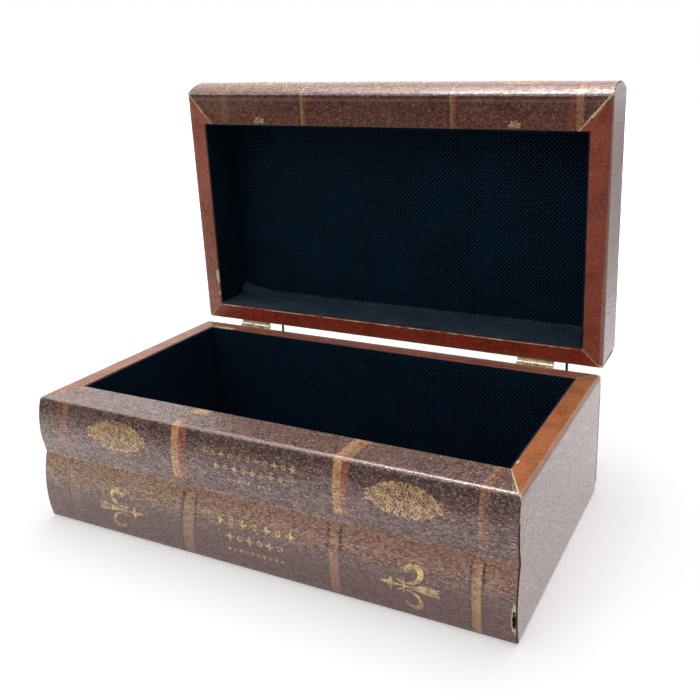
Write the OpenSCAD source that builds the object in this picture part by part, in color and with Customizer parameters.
// Keepsake box that looks like three stacked books: two spines on the base, one on the lid.
// Origin at the centre of the underside, X along the spines, Y to the back, Z up. Millimetres.
// The lid stands open on its stops, as it does at rest.

/* [Box] */
// Length along the spines
box_w = 280; // [230:1:330]
// Depth from the flat front plane to the back
box_d = 153; // [125:1:190]
// Height of the base
base_h = 74; // [66:1:95]
// Height of the lid
lid_h = 38; // [32:1:60]
// Gap between the two rims when the box is shut
closed_gap = 0.5; // [0.3:0.1:1]
// Angle of the lid when it stands on its stops
lid_open = 88; // [80:1:95]

/* [Rims] */
// Width of the side rims
side_rim = 12; // [9:0.5:16]
// Width of the back rims
back_rim = 10.4; // [10:0.1:15]
// Width of the front rim of the base
base_front_rim = 21.3; // [16:0.1:26]
// Width of the front rim of the lid
lid_front_rim = 17; // [14:0.5:24]
// Rounding of the outer edges of the front and side rims
rim_round = 2.4; // [1.2:0.1:3.5]
// Rounding of the outer edges of the back rims
back_round = 1.2; // [0.9:0.1:3]
// Rounding of the upright back corners
corner_round = 2; // [1:0.1:4]
// Rounding along the bottom edge of the base
foot_round = 1.2; // [0.8:0.1:2]
// Rounding around the top of the lid
top_round = 4.5; // [2:0.1:7]

/* [Spines] */
// Height of the groove between the two spines of the base
groove_z = 41; // [34:1:46]
// How far the groove stands in front of the flat front plane
groove_stand = 0.6; // [0:0.1:1.5]
// How far the foot of the lower spine stands in front of that plane
foot_stand = 1.5; // [0:0.1:3]
// Swell of the upper spine over its chord
upper_swell = 3; // [1.5:0.1:4.5]
// Swell of the lower spine over its chord
lower_swell = 3.1; // [1.5:0.1:4.5]
// Swell of the lid's spine over its chord
lid_swell = 4.6; // [1.5:0.1:6]
// How far the edges of the lid's spine stand in front of the flat front plane
lid_spine_stand = 3.9; // [0:0.1:5]
// Radius in the groove
groove_round = 4; // [2:0.5:8]

/* [Boards and skins] */
// Thickness of the floor board
floor_t = 5; // [3:0.5:8]
// Thickness of the lid's top board
top_t = 5; // [3:0.5:8]
// How far the floor and top boards reach under the walls
board_lap = 4.5; // [2:0.5:6]
// Thickness of the leatherette
cover_t = 0.5; // [0.4:0.1:0.8]
// How far the leatherette is turned down inside the rims
turn_in = 9; // [5:1:14]
// Thickness of the sheet under the base
sheet_t = 0.6; // [0.4:0.1:1.2]
// Margin between the edge of that sheet and the edge of the box
sheet_margin = 4; // [3:0.5:8]
// Thickness of the lined card on the walls
lining_t = 1.2; // [0.8:0.1:2]
// Thickness of the padded card on the floor and the lid's top
pad_t = 1.6; // [1:0.1:3]
// Depth of the lining's edge below the rims
lining_drop = 0.5; // [0.3:0.1:3]

/* [Hinges] */
// Distance from each end of the box to the middle of its hinge
hinge_inset = 40; // [25:1:60]
// Length of a hinge
hinge_len = 22.5; // [18:0.5:35]
// Number of knuckles on a hinge
knuckles = 5; // [3:2:7]
// Gap between neighbouring knuckles
knuckle_gap = 0.2; // [0.1:0.05:0.3]
// Outer diameter of the knuckles
knuckle_d = 3.1; // [2.8:0.1:3.8]
// Diameter of the hinge pin
hinge_pin_d = 1.3; // [1:0.1:1.6]
// Distance of the hinge pin behind the back of the box
pin_back = 2.4; // [2:0.1:3.5]
// Thickness of a hinge leaf
leaf_t = 0.7; // [0.5:0.1:0.8]
// Depth of a leaf in the rim
leaf_in = 8; // [6.5:0.1:8.5]
// Radial clearance between the pin and the knuckles that turn on it
running_gap = 0.04; // [0.03:0.01:0.06]
// Radial clearance between parts that are pressed together
press_gap = 0.02; // [0.01:0.01:0.03]
// Distance between the two screws of a leaf
screw_pitch = 13; // [10:0.5:15]
// Diameter of a screw's shank
screw_d = 1.8; // [1.4:0.1:2.2]
// Diameter of a screw's head
screw_head_d = 3.4; // [2.8:0.1:4]
// Length of a screw
screw_len = 10; // [7:0.5:14]

/* [Lid stops] */
// Diameter of the stop wire
wire_d = 1.6; // [1:0.1:2]
// Distance from the middle of a hinge to the stop on its right
stop_offset = 17.5; // [16:0.5:25]
// How far a stop stands behind the back of the box
stop_reach = 9.5; // [8:0.5:14]
// Depth of the stop's foot below the rim
stop_drop = 9; // [7:0.5:14]
// Radius of the bend, to the middle of the wire
stop_bend = 2.5; // [1.5:0.1:4]
// Depth of the stop in the back board
stop_in = 7; // [4:0.5:8]
// Clearance between a stop and the open lid
stop_gap = 0.3; // [0.2:0.05:0.5]

/* [Hidden] */
$fn = 48;
BIG_STEPS = 12;
SMALL_STEPS = 5;
FRONT = 0;
RIGHT = 1;
BACK = 2;
LEFT = 3;

leather_dark = [0.24, 0.15, 0.13];
leather_red = [0.45, 0.22, 0.17];
board_tan = [0.72, 0.58, 0.42];
cloth_black = [0.05, 0.07, 0.10];
brass = [0.78, 0.66, 0.38];
steel_black = [0.12, 0.12, 0.12];

half_w = box_w / 2;
front_y = -box_d / 2;
back_y = box_d / 2;
// Far enough past the box for every cut
past = 20;
floor_top = sheet_t + floor_t;
pin_y = back_y + pin_back;
pin_z = base_h + closed_gap / 2;
// Height of the pin above the base's leaf, and likewise from the lid's leaf to the pin
leaf_drop = cover_t + closed_gap / 2;
knuckle_len = (hinge_len - (knuckles - 1) * knuckle_gap) / knuckles;
knuckle_step = knuckle_len + knuckle_gap;
knuckle_clear = 0.25;
hinge_xs = [-half_w + hinge_inset, half_w - hinge_inset];
leaf_end = back_y - leaf_in;
screw_y = back_y - cover_t - (leaf_in - cover_t) / 2;

function polar(c, r, a) = [c[0] + r * cos(a), c[1] + r * sin(a)];
function arc(c, r, a0, a1, n) = [for (i = [0:n]) polar(c, r, a0 + (a1 - a0) * i / n)];
function angle_to(from, to) = atan2(to[1] - from[1], to[0] - from[0]);
function other_leg(long, side) = sqrt(long * long - side * side);
function triangle_angle(a, b, facing) = acos((a * a + b * b - facing * facing) / (2 * a * b));

// Circle through two points, low and high, whose swell over their chord is given: [centre, radius]
function swell_circle(low, high, swell) =
    let (chord = norm(high - low),
         r = (chord * chord / 4 + swell * swell) / (2 * swell),
         along = (high - low) / chord,
         inward = [-along[1], along[0]])
    [(low + high) / 2 + inward * (r - swell), r];

// Centre of a rounding of radius r that touches the level z from inside and the circle from inside
function edge_centre(ring, z, r) =
    [ring[0][0] + other_leg(ring[1] - r, z - ring[0][1]), z];

// The spines are drawn as [forward of the flat front plane, height]
foot = [foot_stand, sheet_t];
groove = [groove_stand, groove_z];
upper_ring = swell_circle(groove, [0, base_h], upper_swell);
lower_ring = swell_circle(foot, groove, lower_swell);
rim_centre = edge_centre(upper_ring, base_h - rim_round, rim_round);
foot_centre = edge_centre(lower_ring, sheet_t + foot_round, foot_round);
rim_angle = angle_to(upper_ring[0], rim_centre);
foot_angle = angle_to(lower_ring[0], foot_centre);

// Centre of the round in the groove: it touches both rings from outside
ring_gap = norm(lower_ring[0] - upper_ring[0]);
reach_up = upper_ring[1] + groove_round;
reach_low = lower_ring[1] + groove_round;
groove_turn = triangle_angle(reach_up, ring_gap, reach_low);
groove_up = angle_to(upper_ring[0], lower_ring[0]) + groove_turn;
groove_centre = polar(upper_ring[0], reach_up, groove_up);
groove_low = angle_to(lower_ring[0], groove_centre);

lid_ring = swell_circle([lid_spine_stand, rim_round], [lid_spine_stand, lid_h - top_round], lid_swell);
lid_rim_centre = edge_centre(lid_ring, rim_round, rim_round);
lid_top_centre = edge_centre(lid_ring, lid_h - top_round, top_round);
lid_rim_angle = angle_to(lid_ring[0], lid_rim_centre);
lid_top_angle = angle_to(lid_ring[0], lid_top_centre);

// Front outline of the base from the rim down to the foot, drawn in by t
function base_spines(t) = concat(
    arc(rim_centre, rim_round - t, 90, rim_angle, SMALL_STEPS),
    arc(upper_ring[0], upper_ring[1] - t, rim_angle, groove_up, BIG_STEPS),
    arc(groove_centre, groove_round + t, groove_up + 180, groove_low + 180, SMALL_STEPS),
    arc(lower_ring[0], lower_ring[1] - t, groove_low, foot_angle, BIG_STEPS),
    arc(foot_centre, foot_round - t, foot_angle, -90, SMALL_STEPS));

// Front outline of the lid from the top down to the rim, drawn in by t
function lid_spine(t) = concat(
    arc(lid_top_centre, top_round - t, 90, lid_top_angle, SMALL_STEPS),
    arc(lid_ring[0], lid_ring[1] - t, lid_top_angle, lid_rim_angle, BIG_STEPS),
    arc(lid_rim_centre, rim_round - t, lid_rim_angle, -90, SMALL_STEPS));

function forward(points) = [for (p = points) [front_y - p[0], p[1]]];

// Closes a front outline with the back of the box, rounded low and high
function side_outline(front, low, high, r_low, r_high, t) = concat(
    forward(front),
    arc([back_y - r_low, low + r_low], r_low - t, -90, 0, SMALL_STEPS),
    arc([back_y - r_high, high - r_high], r_high - t, 0, 90, SMALL_STEPS));

// Outline seen from the front, with its lower and upper corners rounded
function end_outline(low, high, r_low, r_high, t) = concat(
    arc([half_w - r_low, low + r_low], r_low - t, -90, 0, SMALL_STEPS),
    arc([half_w - r_high, high - r_high], r_high - t, 0, 90, SMALL_STEPS),
    arc([r_high - half_w, high - r_high], r_high - t, 90, 180, SMALL_STEPS),
    arc([r_low - half_w, low + r_low], r_low - t, 180, 270, SMALL_STEPS));

// A block with a side outline, an end outline and rounded upright back corners
module rounded_block(side, end, t) {
    r = corner_round - t;
    intersection() {
        translate([-half_w + t, 0, 0]) rotate([90, 0, 90]) linear_extrude(box_w - 2 * t) polygon(side);
        translate([0, back_y - t, 0]) rotate([90, 0, 0]) linear_extrude(box_d + past) polygon(end);
        linear_extrude(base_h + lid_h) polygon(concat(
            [[t - half_w, front_y - past], [half_w - t, front_y - past]],
            arc([half_w - corner_round, back_y - corner_round], r, 0, 90, SMALL_STEPS),
            arc([corner_round - half_w, back_y - corner_round], r, 90, 180, SMALL_STEPS)));
    }
}

module base_block(t) {
    rounded_block(side_outline(base_spines(t), sheet_t, base_h, foot_round, back_round, t),
        end_outline(sheet_t, base_h, foot_round, rim_round, t), t);
}

module lid_block(t) {
    rounded_block(side_outline(lid_spine(t), 0, lid_h, back_round, top_round, t),
        end_outline(0, lid_h, rim_round, top_round, t), t);
}

// Right, front and back walls of the space inside the rims, grown by g
function well(front_rim, g) =
    [half_w - (side_rim - g), front_y + (front_rim - g), back_y - (back_rim - g)];

module slab(x, y, low, high) {
    translate([0, 0, low]) linear_extrude(high - low)
        polygon([[x[0], y[0]], [x[1], y[0]], [x[1], y[1]], [x[0], y[1]]]);
}

// The space inside the rims, grown by g, between two heights
module cavity(front_rim, g, low, high) {
    w = well(front_rim, g);
    slab([-w[0], w[0]], [w[1], w[2]], low, high);
}

// Where each board of the walls lies: the front and back boards run full length
module board_share(side, front_rim, high) {
    w = well(front_rim, cover_t);
    if (side == FRONT) slab([-half_w, half_w], [front_y - past, w[1]], 0, high);
    if (side == BACK) slab([-half_w, half_w], [w[2], back_y], 0, high);
    if (side == LEFT) slab([-half_w, -w[0]], [w[1], w[2]], 0, high);
    if (side == RIGHT) slab([w[0], half_w], [w[1], w[2]], 0, high);
}

// The share of a box that lies on one side of its mitres; the mitres run through the rim's corners
module mitre_wedge(side, front_rim, low, high) {
    w = well(front_rim, 0);
    inner = [[-w[0], w[1]], [w[0], w[1]], [w[0], w[2]], [-w[0], w[2]]];
    outer = [[-half_w, front_y], [half_w, front_y], [half_w, back_y], [-half_w, back_y]];
    far = [for (i = [0:3]) outer[i] + (outer[i] - inner[i])];
    next = (side + 1) % 4;
    translate([0, 0, low]) linear_extrude(high - low)
        polygon([far[side], far[next], inner[next], inner[side]]);
}

// The thin layers on the ends of the spines, which belong to the side covers
module spine_ends(low, high) {
    for (x = [-half_w - past, half_w - cover_t])
        translate([x, front_y - past, low]) cube([cover_t + past, 2 * past, high - low]);
}

// One side's share of a cover: by the mitres, and with or without the ends of the spines
module cover_share(side, front_rim, low, high, end_low, end_high) {
    difference() {
        mitre_wedge(side, front_rim, low, high);
        if (side == FRONT) spine_ends(end_low, end_high);
    }
    if (side == LEFT || side == RIGHT) intersection() {
        spine_ends(end_low, end_high);
        translate([side == LEFT ? -half_w - past : 0, front_y - past, end_low])
            cube([half_w + past, box_d, end_high - end_low]);
    }
}

// Places what is drawn in the shut lid's own frame: rim plane at 0, top upwards
module on_lid() {
    translate([0, pin_y, pin_z]) rotate([-lid_open, 0, 0])
        translate([0, -pin_y, base_h + closed_gap - pin_z]) children();
}

// A leaf's plate with its share of the knuckles. It lies under the pin, with the pin's axis as its origin.
module leaf(mine) {
    difference() {
        union() {
            translate([-hinge_len / 2, leaf_end - pin_y, -leaf_drop - leaf_t])
                cube([hinge_len, pin_y - leaf_end, leaf_t]);
            for (i = [0:knuckles - 1]) if (i % 2 == mine)
                translate([i * knuckle_step - hinge_len / 2, 0, 0]) rotate([0, 90, 0])
                    cylinder(h = knuckle_len, d = knuckle_d);
        }
        for (i = [0:knuckles - 1]) if (i % 2 != mine)
            translate([i * knuckle_step - hinge_len / 2 - knuckle_gap, 0, 0]) rotate([0, 90, 0])
                cylinder(h = knuckle_len + 2 * knuckle_gap, d = knuckle_d + 2 * knuckle_clear);
        translate([-hinge_len / 2 - 1, 0, 0]) rotate([0, 90, 0])
            cylinder(h = hinge_len + 2, d = hinge_pin_d + 2 * (mine == 0 ? press_gap : running_gap));
        at_screws() screw(press_gap);
    }
}

module at_screws() {
    for (x = [-screw_pitch / 2, screw_pitch / 2])
        translate([x, screw_y - pin_y, -leaf_drop]) children();
}

// A countersunk wood screw, its head's top at the origin, or with a clearance the hole for it
module screw(clear) {
    head_h = leaf_t;
    point_h = 1.5 * screw_d;
    head_r = screw_head_d / 2 + clear;
    shank_r = screw_d / 2 + clear;
    translate([0, 0, -head_h]) cylinder(h = head_h, r1 = shank_r, r2 = head_r);
    translate([0, 0, point_h - screw_len - clear])
        cylinder(h = screw_len - point_h - head_h + clear, r = shank_r);
    translate([0, 0, -screw_len - clear]) cylinder(h = point_h, r1 = 0.2 * shank_r, r2 = shank_r);
}

module at_hinges(which) {
    for (i = which) translate([hinge_xs[i], pin_y, pin_z]) children();
}

// What a leaf and its screws take out of the rim's board, with the pin's axis as its origin
module leaf_seat() {
    translate([-hinge_len / 2, leaf_end - pin_y, -leaf_drop - leaf_t])
        cube([hinge_len, leaf_in + past, leaf_t + past]);
    at_screws() screw(press_gap);
}

// The slot through which a leaf leaves the cover at the rounded edge of the rim
module leaf_slot() {
    translate([-hinge_len / 2, -pin_back - back_round, -leaf_drop - leaf_t])
        cube([hinge_len, back_round + past, leaf_t + past]);
}

// Turns a hinge's parts from the base over to the lid, in the shut lid's own frame
module over_to_lid(which) {
    for (i = which) translate([hinge_xs[i], pin_y, -closed_gap / 2]) mirror([0, 0, 1]) children();
}

module base_walls() {
    difference() {
        base_block(cover_t);
        cavity(base_front_rim, cover_t, -1, base_h + 1);
        floor_panel(0);
        at_hinges([0, 1]) leaf_seat();
        stop_holes();
    }
}

module floor_panel(low) {
    cavity(base_front_rim, cover_t + board_lap, low, floor_top);
}

module base_board(side) {
    color(board_tan) intersection() {
        base_walls();
        board_share(side, base_front_rim, base_h);
    }
}

module floor_board() {
    color(board_tan) floor_panel(sheet_t);
}

module base_cover(side) {
    color(side == FRONT ? leather_dark : leather_red) intersection() {
        difference() {
            base_block(0);
            cavity(base_front_rim, 0, -1, base_h + 1);
            difference() {
                base_block(cover_t);
                cavity(base_front_rim, cover_t, base_h - turn_in, base_h + 1);
            }
            floor_panel(0);
            at_hinges([0, 1]) leaf_slot();
            stop_holes();
        }
        cover_share(side, base_front_rim, 0, base_h, 0, base_h - rim_round);
    }
}

module underside_sheet() {
    color(cloth_black) translate([sheet_margin - half_w, front_y + sheet_margin, 0])
        cube([box_w - 2 * sheet_margin, box_d - 2 * sheet_margin, sheet_t]);
}

// One lined panel of a cavity. Its front and back panels run full length, its side panels fit between them.
module lining_panel(side, front_rim, low, high) {
    w = well(front_rim, 0);
    v = well(front_rim, -lining_t);
    color(cloth_black) {
        if (side == FRONT) slab([-w[0], w[0]], [w[1], v[1]], low, high);
        if (side == BACK) slab([-w[0], w[0]], [v[2], w[2]], low, high);
        if (side == LEFT) slab([-w[0], -v[0]], [v[1], v[2]], low, high);
        if (side == RIGHT) slab([v[0], w[0]], [v[1], v[2]], low, high);
    }
}

module base_lining(side) {
    lining_panel(side, base_front_rim, floor_top + pad_t, base_h - lining_drop);
}

module base_floor_lining() {
    color(cloth_black) cavity(base_front_rim, 0, floor_top, floor_top + pad_t);
}

module hinge_base_leaf(i) {
    color(brass) at_hinges([i]) leaf(0);
}

module hinge_pin(i) {
    color(brass) at_hinges([i]) translate([-hinge_len / 2, 0, 0]) rotate([0, 90, 0])
        cylinder(h = hinge_len, d = hinge_pin_d);
}

module base_hinge_screws() {
    color(brass) at_hinges([0, 1]) at_screws() screw(0);
}

// Height of the open lid's underside at a distance behind the pin
function lid_underside(back) =
    pin_back * sin(lid_open) + (back + pin_back * cos(lid_open)) / tan(lid_open);

module at_stop(i) {
    translate([hinge_xs[i] + stop_offset, back_y, base_h - stop_drop]) children();
}

module stop_holes() {
    for (i = [0, 1]) at_stop(i) rotate([-90, 0, 0]) translate([0, 0, -stop_in])
        cylinder(h = stop_in + past, d = wire_d + 2 * press_gap);
}

// A bent wire: its foot sits in the back board, its upright carries the open lid
module lid_stop(i) {
    tip = pin_z - base_h + stop_drop - stop_gap + min(lid_underside(stop_reach - pin_back - wire_d / 2),
        lid_underside(stop_reach - pin_back + wire_d / 2));
    color(steel_black) at_stop(i) {
        rotate([-90, 0, 0]) translate([0, 0, -stop_in])
            cylinder(h = stop_in + stop_reach - stop_bend, d = wire_d);
        translate([0, stop_reach - stop_bend, stop_bend]) rotate([0, 90, 0])
            rotate_extrude(angle = 90) translate([stop_bend, 0]) circle(d = wire_d);
        translate([0, stop_reach, stop_bend]) cylinder(h = tip - stop_bend, d = wire_d);
    }
}

module lid_walls() {
    difference() {
        lid_block(cover_t);
        cavity(lid_front_rim, cover_t, -1, lid_h + 1);
        top_panel();
        over_to_lid([0, 1]) leaf_seat();
    }
}

module top_panel() {
    cavity(lid_front_rim, cover_t + board_lap, lid_h - cover_t - top_t, lid_h - cover_t);
}

module lid_board(side) {
    color(board_tan) on_lid() intersection() {
        lid_walls();
        board_share(side, lid_front_rim, lid_h);
    }
}

module lid_top_board() {
    color(board_tan) on_lid() top_panel();
}

module lid_shell() {
    difference() {
        lid_block(0);
        cavity(lid_front_rim, 0, -1, lid_h / 2);
        difference() {
            lid_block(cover_t);
            cavity(lid_front_rim, cover_t, -1, turn_in);
        }
        over_to_lid([0, 1]) leaf_slot();
    }
}

module lid_cover(side) {
    color(side == FRONT ? leather_dark : leather_red) on_lid() intersection() {
        lid_shell();
        cover_share(side, lid_front_rim, 0, lid_h - top_round, rim_round, lid_h - top_round);
    }
}

module lid_top_cover() {
    color(leather_red) on_lid() intersection() {
        lid_shell();
        translate([-half_w, front_y - past, lid_h - top_round]) cube([box_w, box_d + past, top_round]);
    }
}

module lid_lining(side) {
    on_lid() lining_panel(side, lid_front_rim, lining_drop, lid_h - cover_t - top_t - pad_t);
}

module lid_top_lining() {
    high = lid_h - cover_t - top_t;
    color(cloth_black) on_lid() cavity(lid_front_rim, 0, high - pad_t, high);
}

module hinge_lid_leaf(i) {
    color(brass) on_lid() over_to_lid([i]) leaf(1);
}

module lid_hinge_screws() {
    color(brass) on_lid() over_to_lid([0, 1]) at_screws() screw(0);
}

base_board(FRONT);  // base_front_board
base_board(BACK);  // base_back_board
base_board(LEFT);  // base_left_board
base_board(RIGHT);  // base_right_board
floor_board();
base_cover(FRONT);  // base_spine_cover
base_cover(BACK);  // base_back_cover
base_cover(LEFT);  // base_left_cover
base_cover(RIGHT);  // base_right_cover
underside_sheet();
base_floor_lining();
base_lining(FRONT);  // base_front_lining
base_lining(BACK);  // base_back_lining
base_lining(LEFT);  // base_left_lining
base_lining(RIGHT);  // base_right_lining
hinge_base_leaf(0);  // left_hinge_base_leaf
hinge_base_leaf(1);  // right_hinge_base_leaf
hinge_pin(0);  // left_hinge_pin
hinge_pin(1);  // right_hinge_pin
base_hinge_screws();
lid_stop(0);  // left_lid_stop
lid_stop(1);  // right_lid_stop
lid_board(FRONT);  // lid_front_board
lid_board(BACK);  // lid_back_board
lid_board(LEFT);  // lid_left_board
lid_board(RIGHT);  // lid_right_board
lid_top_board();
lid_cover(FRONT);  // lid_spine_cover
lid_cover(BACK);  // lid_back_cover
lid_cover(LEFT);  // lid_left_cover
lid_cover(RIGHT);  // lid_right_cover
lid_top_cover();
lid_top_lining();
lid_lining(FRONT);  // lid_front_lining
lid_lining(BACK);  // lid_back_lining
lid_lining(LEFT);  // lid_left_lining
lid_lining(RIGHT);  // lid_right_lining
hinge_lid_leaf(0);  // left_hinge_lid_leaf
hinge_lid_leaf(1);  // right_hinge_lid_leaf
lid_hinge_screws();
